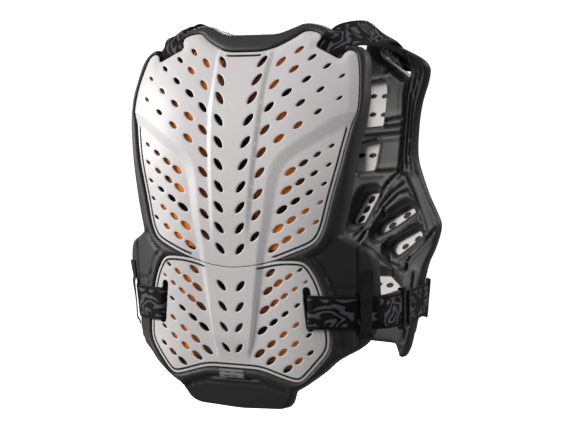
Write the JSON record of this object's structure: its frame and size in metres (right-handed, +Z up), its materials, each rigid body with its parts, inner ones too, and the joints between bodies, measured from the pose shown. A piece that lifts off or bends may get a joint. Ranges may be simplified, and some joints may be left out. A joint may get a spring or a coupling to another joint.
{
  "type": "roost deflector",
  "caption": "Motocross chest and back protector: pierced white back shells on moulded foam, windowed chest pad with its plate, elastic shoulder and waist straps.",
  "frame": {"origin": "midway between the undersides of the two shoulder straps at their top", "axes": "+X to the wearer's right, +Y to the wearer's front, +Z up"},
  "size_m": [0.3314, 0.2605, 0.4335],
  "materials": {
    "shell": "satin",
    "foam": "matte orange foam",
    "padding": "soft moulded foam under knitted cloth",
    "elastic": "woven elastic with a grey pattern",
    "webbing": "flat woven",
    "fitting": "satin black",
    "rivet": "gloss black",
    "label": "bare woven label"
  },
  "bodies": {
    "root": {"back_upper_plate": "shell", "back_lower_plate": "shell", "back_foam_upper": "foam", "back_foam_lower": "foam", "back_pad": "padding", "chest_pad": "padding", "chest_plate": "shell", "shoulder_strap_right": "elastic", "shoulder_strap_left": "elastic", "waist_strap_right": "elastic", "waist_strap_left": "elastic", "keeper_right": "webbing", "keeper_left": "webbing", "slider_right": "fitting", "slider_left": "fitting", "hook_right": "fitting", "hook_left": "fitting", "rivet_right": "rivet", "rivet_left": "rivet", "label": "label"}
  },
  "joints": []
}
